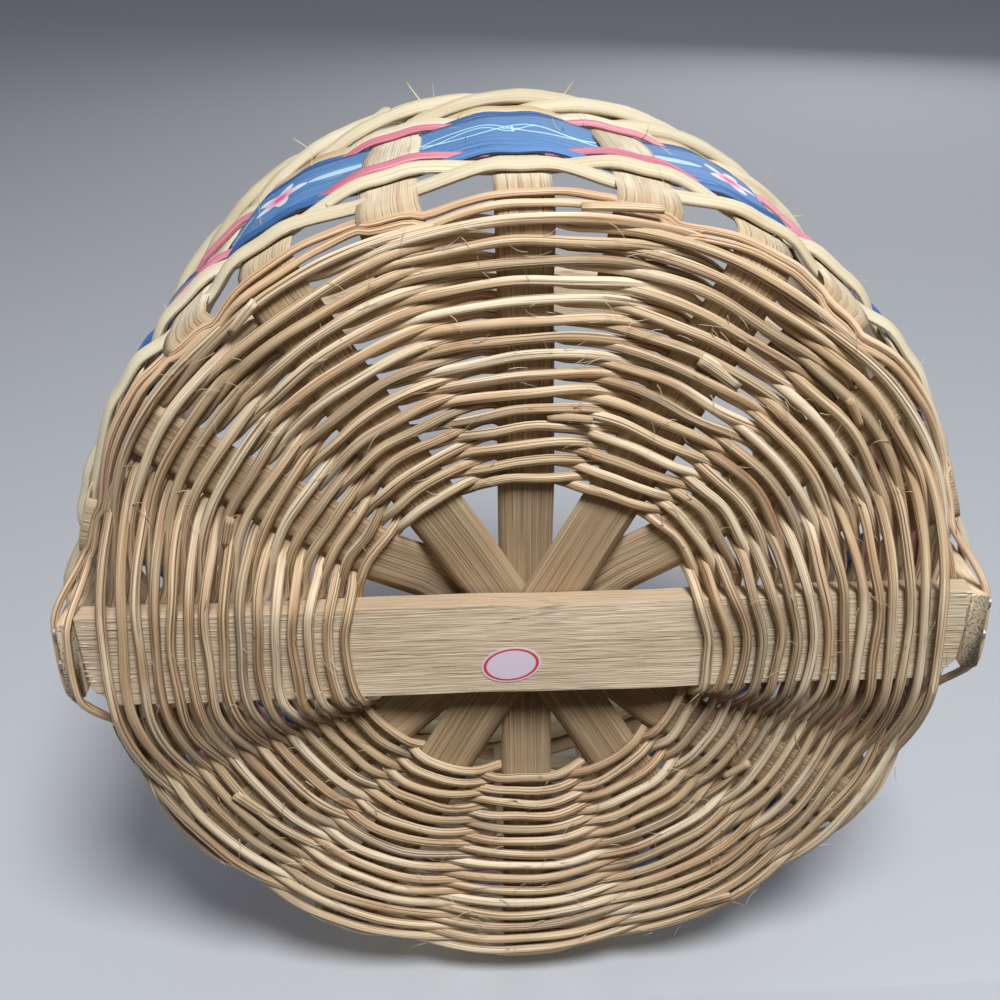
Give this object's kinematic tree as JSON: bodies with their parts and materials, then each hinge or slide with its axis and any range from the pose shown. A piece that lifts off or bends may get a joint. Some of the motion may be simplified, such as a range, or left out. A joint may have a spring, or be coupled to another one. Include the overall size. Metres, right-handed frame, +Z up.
{
  "type": "knitting basket",
  "caption": "Round woven reed basket on a flat wooden base bar with a bent wooden hoop handle, coloured woven rows and a printed band round its wall.",
  "frame": {"origin": "on the floor under the middle of the base bar, at the lowest point of the rows that pass under the bar", "axes": "+Z up through the mouth of the basket, X along the base bar from one side of the handle to the other"},
  "size_m": [0.2562, 0.2492, 0.3],
  "materials": {
    "bar_wood": "rough sawn, unfinished",
    "handle_wood": "sanded, unfinished",
    "spoke_reed": "matt, fibrous",
    "round_reed": "matt, streaked",
    "pale_reed": "matt, fibrous",
    "tan_reed": "matt, fibrous",
    "blue_reed": "dyed, low sheen",
    "pink_reed": "dyed, low sheen",
    "printed_band": "painted, with small white and pink motifs",
    "nail_steel": "plain",
    "label_paper": "coated paper, blank, with a red edge"
  },
  "bodies": {
    "root": {"handle_base_bar": "bar_wood", "handle_hoop": "handle_wood", "handle_nail_1": "nail_steel", "handle_nail_2": "nail_steel", "handle_nail_3": "nail_steel", "handle_nail_4": "nail_steel", "base_spoke_1": "spoke_reed", "base_spoke_2": "spoke_reed", "base_spoke_3": "spoke_reed", "base_spoke_4": "spoke_reed", "base_spoke_5": "spoke_reed", "side_stake_01": "spoke_reed", "side_stake_02": "spoke_reed", "side_stake_03": "spoke_reed", "side_stake_04": "spoke_reed", "side_stake_05": "spoke_reed", "side_stake_06": "spoke_reed", "side_stake_07": "spoke_reed", "side_stake_08": "spoke_reed", "side_stake_09": "spoke_reed", "side_stake_10": "spoke_reed", "side_stake_11": "spoke_reed", "side_stake_12": "spoke_reed", "base_row_01": "round_reed", "base_row_02": "round_reed", "base_row_03": "round_reed", "base_row_04": "round_reed", "base_row_05": "round_reed", "base_row_06": "round_reed", "base_row_07": "round_reed", "base_row_08": "round_reed", "base_row_09": "round_reed", "base_row_10": "round_reed", "base_row_11": "round_reed", "base_row_12": "round_reed", "base_row_13": "round_reed", "base_row_14": "round_reed", "base_row_15": "round_reed", "corner_row_1": "round_reed", "corner_row_2": "round_reed", "pale_row_1": "pale_reed", "pale_row_2": "pale_reed", "blue_row_1": "blue_reed", "pink_row_1": "pink_reed", "printed_band": "printed_band", "pink_row_2": "pink_reed", "blue_row_2": "blue_reed", "pale_row_3": "pale_reed", "tan_row": "tan_reed", "border_outside": "pale_reed", "border_inside": "pale_reed", "paper_label": "label_paper"}
  },
  "joints": []
}
